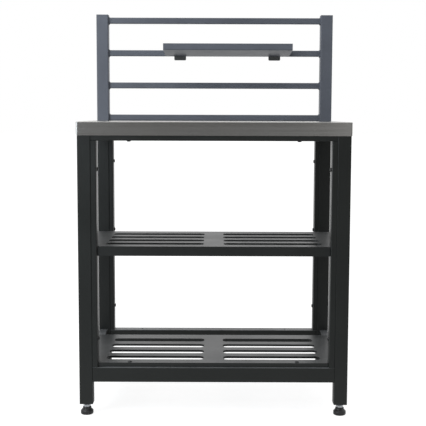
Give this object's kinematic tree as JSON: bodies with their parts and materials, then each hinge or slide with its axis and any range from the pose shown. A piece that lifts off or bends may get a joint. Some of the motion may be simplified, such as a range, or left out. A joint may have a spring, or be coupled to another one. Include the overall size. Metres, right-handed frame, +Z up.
{
  "type": "outdoor modular table",
  "caption": "Outdoor kitchen table on a steel tube frame, with a brushed steel worktop, slotted shelves, levelling feet, and a back rack carrying a sliding tray.",
  "frame": {"origin": "on the floor under the middle of the worktop", "axes": "+Z up, +X to the right seen from the front, +Y to the back where the rack stands"},
  "size_m": [0.804, 0.544, 1.232],
  "materials": {
    "frame_coat": "satin",
    "shelf_coat": "satin",
    "rack_coat": "satin",
    "hook_coat": "matte",
    "brushed_top": "brushed",
    "board": "sealed",
    "black_zinc": "black zinc plated",
    "zinc": "zinc plated",
    "foot_plastic": "matte"
  },
  "bodies": {
    "frame": {"counter_board": "board", "counter_screws": "black_zinc", "counter_top": "brushed_top", "front_bottom_rail": "frame_coat", "front_left_foot_plate": "zinc", "front_left_leg": "frame_coat", "front_left_upright": "frame_coat", "front_right_foot_plate": "zinc", "front_right_leg": "frame_coat", "front_right_upright": "frame_coat", "front_top_rail": "frame_coat", "left_bottom_rail": "frame_coat", "left_rack_post": "rack_coat", "left_shelf_rail": "frame_coat", "left_top_rail": "frame_coat", "leg_top_inserts": "zinc", "lower_shelf": "shelf_coat", "lower_shelf_screws": "black_zinc", "middle_shelf": "shelf_coat", "rack_post_caps": "rack_coat", "rack_post_inserts": "zinc", "rack_rail_1": "rack_coat", "rack_rail_2": "rack_coat", "rack_rail_3": "rack_coat", "rack_rail_4": "rack_coat", "rack_studs": "zinc", "rear_bottom_rail": "frame_coat", "rear_left_foot_plate": "zinc", "rear_left_leg": "frame_coat", "rear_left_upright": "frame_coat", "rear_right_foot_plate": "zinc", "rear_right_leg": "frame_coat", "rear_right_upright": "frame_coat", "rear_top_rail": "frame_coat", "right_bottom_rail": "frame_coat", "right_rack_post": "rack_coat", "right_shelf_rail": "frame_coat", "right_top_rail": "frame_coat", "upright_bolts": "black_zinc", "upright_nuts": "zinc"},
    "hanging_tray_unit": {"hanging_tray": "rack_coat", "left_tray_hook": "hook_coat", "right_tray_hook": "hook_coat", "tray_rivets": "rack_coat"},
    "front_left_foot": {"front_left_foot_stem": "zinc", "front_left_foot_pad": "foot_plastic"},
    "front_right_foot": {"front_right_foot_stem": "zinc", "front_right_foot_pad": "foot_plastic"},
    "rear_left_foot": {"rear_left_foot_stem": "zinc", "rear_left_foot_pad": "foot_plastic"},
    "rear_right_foot": {"rear_right_foot_stem": "zinc", "rear_right_foot_pad": "foot_plastic"}
  },
  "joints": [
    {"name": "tray_slide", "type": "slide", "parent": "frame", "child": "hanging_tray_unit", "axis": [1, 0, 0], "range_m": [-0.19, 0.103]},
    {"name": "front_left_foot_height", "type": "slide", "parent": "frame", "child": "front_left_foot", "axis": [0, 0, -1], "range_m": [-0.004, 0.02]},
    {"name": "front_right_foot_height", "type": "slide", "parent": "frame", "child": "front_right_foot", "axis": [0, 0, -1], "range_m": [-0.004, 0.02]},
    {"name": "rear_left_foot_height", "type": "slide", "parent": "frame", "child": "rear_left_foot", "axis": [0, 0, -1], "range_m": [-0.004, 0.02]},
    {"name": "rear_right_foot_height", "type": "slide", "parent": "frame", "child": "rear_right_foot", "axis": [0, 0, -1], "range_m": [-0.004, 0.02]}
  ]
}
